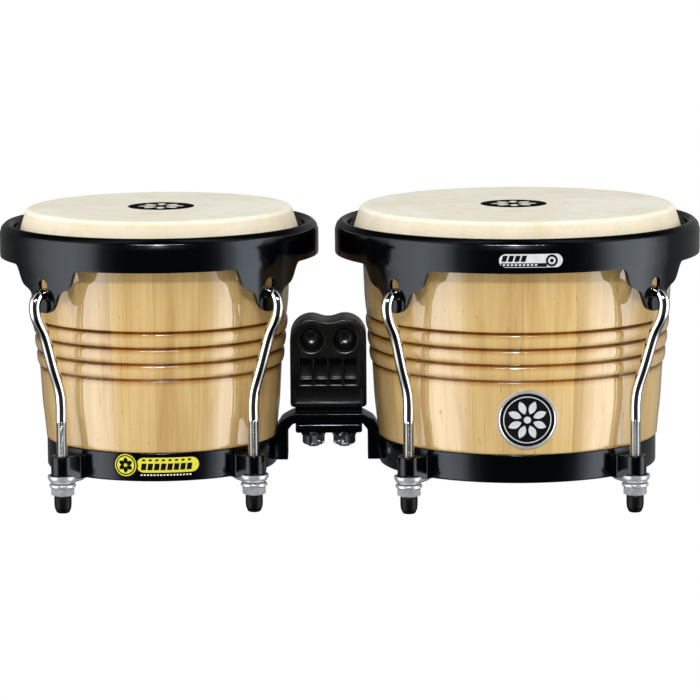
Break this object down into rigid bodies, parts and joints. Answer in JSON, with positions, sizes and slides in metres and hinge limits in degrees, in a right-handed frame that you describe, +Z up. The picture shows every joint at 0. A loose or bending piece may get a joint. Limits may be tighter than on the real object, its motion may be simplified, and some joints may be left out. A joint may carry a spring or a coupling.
{
  "type": "bongo drums",
  "caption": "Pair of bongo drums: wooden shells, rawhide heads under slotted steel rims, hooked tension rods with nuts and rubber feet, joined by a bridge block.",
  "frame": {"origin": "centre of the outer box, on the surface that the eight rubber feet stand on", "axes": "+X from the small drum to the large drum, +Z up through the heads, -Y towards the front with the badge"},
  "size_m": [0.456, 0.2378, 0.191],
  "materials": {
    "lacquered_wood": "light stave wood under high-gloss clear lacquer",
    "rawhide": "matte natural rawhide",
    "hoop_steel": "plain steel",
    "black_steel": "satin black powder coat",
    "chrome": "polished chrome",
    "black_rubber": "matte black rubber",
    "black_plastic": "moulded black, satin",
    "badge_metal": "polished badge with a black field"
  },
  "bodies": {
    "frame": {"macho_shell": "lacquered_wood", "macho_head": "rawhide", "macho_flesh_hoop": "hoop_steel", "macho_bottom_ring": "black_steel", "macho_lug_plate_front_left": "chrome", "macho_washer_front_left": "chrome", "macho_rubber_tip_front_left": "black_rubber", "macho_lug_plate_front_right": "chrome", "macho_washer_front_right": "chrome", "macho_rubber_tip_front_right": "black_rubber", "macho_lug_plate_rear_left": "chrome", "macho_washer_rear_left": "chrome", "macho_rubber_tip_rear_left": "black_rubber", "macho_lug_plate_rear_right": "chrome", "macho_washer_rear_right": "chrome", "macho_rubber_tip_rear_right": "black_rubber", "macho_arm": "black_steel", "hembra_shell": "lacquered_wood", "hembra_head": "rawhide", "hembra_flesh_hoop": "hoop_steel", "hembra_bottom_ring": "black_steel", "hembra_lug_plate_front_left": "chrome", "hembra_washer_front_left": "chrome", "hembra_rubber_tip_front_left": "black_rubber", "hembra_lug_plate_front_right": "chrome", "hembra_washer_front_right": "chrome", "hembra_rubber_tip_front_right": "black_rubber", "hembra_lug_plate_rear_left": "chrome", "hembra_washer_rear_left": "chrome", "hembra_rubber_tip_rear_left": "black_rubber", "hembra_lug_plate_rear_right": "chrome", "hembra_washer_rear_right": "chrome", "hembra_rubber_tip_rear_right": "black_rubber", "hembra_arm": "black_steel", "hembra_badge": "badge_metal", "bridge_block": "black_plastic", "bridge_pad": "black_rubber", "bridge_clamp_plate": "black_steel", "bridge_bolt_front_left": "chrome", "bridge_bolt_front_right": "chrome", "bridge_bolt_rear_left": "chrome", "bridge_bolt_rear_right": "chrome"},
    "macho_tensioner": {"macho_rim": "black_steel", "macho_rod_front_left": "chrome", "macho_rod_front_right": "chrome", "macho_rod_rear_left": "chrome", "macho_rod_rear_right": "chrome"},
    "hembra_tensioner": {"hembra_rim": "black_steel", "hembra_rod_front_left": "chrome", "hembra_rod_front_right": "chrome", "hembra_rod_rear_left": "chrome", "hembra_rod_rear_right": "chrome"},
    "hembra_nut_front_left_body": {"hembra_nut_front_left": "chrome"},
    "hembra_nut_front_right_body": {"hembra_nut_front_right": "chrome"},
    "hembra_nut_rear_left_body": {"hembra_nut_rear_left": "chrome"},
    "hembra_nut_rear_right_body": {"hembra_nut_rear_right": "chrome"},
    "macho_nut_front_left_body": {"macho_nut_front_left": "chrome"},
    "macho_nut_front_right_body": {"macho_nut_front_right": "chrome"},
    "macho_nut_rear_left_body": {"macho_nut_rear_left": "chrome"},
    "macho_nut_rear_right_body": {"macho_nut_rear_right": "chrome"}
  },
  "joints": [
    {"name": "macho_rim_lift", "type": "slide", "parent": "frame", "child": "macho_tensioner", "axis": [0, 0, 1], "range_m": [0, 0.005]},
    {"name": "hembra_rim_lift", "type": "slide", "parent": "frame", "child": "hembra_tensioner", "axis": [0, 0, 1], "range_m": [0, 0.005]},
    {"name": "macho_nut_front_left_turn", "type": "hinge", "parent": "frame", "child": "macho_nut_front_left_body", "pos_m": [-0.18572, -0.06152, 0.01415], "axis": [0, 0, 1], "range_deg": [-1441, 1]},
    {"name": "macho_nut_front_right_turn", "type": "hinge", "parent": "frame", "child": "macho_nut_front_right_body", "pos_m": [-0.06268, -0.06152, 0.01415], "axis": [0, 0, 1], "range_deg": [-1441, 1]},
    {"name": "macho_nut_rear_left_turn", "type": "hinge", "parent": "frame", "child": "macho_nut_rear_left_body", "pos_m": [-0.18572, 0.06152, 0.01415], "axis": [0, 0, 1], "range_deg": [-1441, 1]},
    {"name": "macho_nut_rear_right_turn", "type": "hinge", "parent": "frame", "child": "macho_nut_rear_right_body", "pos_m": [-0.06268, 0.06152, 0.01415], "axis": [0, 0, 1], "range_deg": [-1441, 1]},
    {"name": "hembra_nut_front_left_turn", "type": "hinge", "parent": "frame", "child": "hembra_nut_front_left_body", "pos_m": [0.03669, -0.07241, 0.01415], "axis": [0, 0, 1], "range_deg": [-1441, 1]},
    {"name": "hembra_nut_front_right_turn", "type": "hinge", "parent": "frame", "child": "hembra_nut_front_right_body", "pos_m": [0.18151, -0.07241, 0.01415], "axis": [0, 0, 1], "range_deg": [-1441, 1]},
    {"name": "hembra_nut_rear_left_turn", "type": "hinge", "parent": "frame", "child": "hembra_nut_rear_left_body", "pos_m": [0.03669, 0.07241, 0.01415], "axis": [0, 0, 1], "range_deg": [-1441, 1]},
    {"name": "hembra_nut_rear_right_turn", "type": "hinge", "parent": "frame", "child": "hembra_nut_rear_right_body", "pos_m": [0.18151, 0.07241, 0.01415], "axis": [0, 0, 1], "range_deg": [-1441, 1]}
  ],
  "couplings": [
    {"joint": "macho_nut_front_left_turn", "follows": "macho_rim_lift", "rad_per_m": -5026.5},
    {"joint": "macho_nut_front_right_turn", "follows": "macho_rim_lift", "rad_per_m": -5026.5},
    {"joint": "macho_nut_rear_left_turn", "follows": "macho_rim_lift", "rad_per_m": -5026.5},
    {"joint": "macho_nut_rear_right_turn", "follows": "macho_rim_lift", "rad_per_m": -5026.5},
    {"joint": "hembra_nut_front_left_turn", "follows": "hembra_rim_lift", "rad_per_m": -5026.5},
    {"joint": "hembra_nut_front_right_turn", "follows": "hembra_rim_lift", "rad_per_m": -5026.5},
    {"joint": "hembra_nut_rear_left_turn", "follows": "hembra_rim_lift", "rad_per_m": -5026.5},
    {"joint": "hembra_nut_rear_right_turn", "follows": "hembra_rim_lift", "rad_per_m": -5026.5}
  ]
}
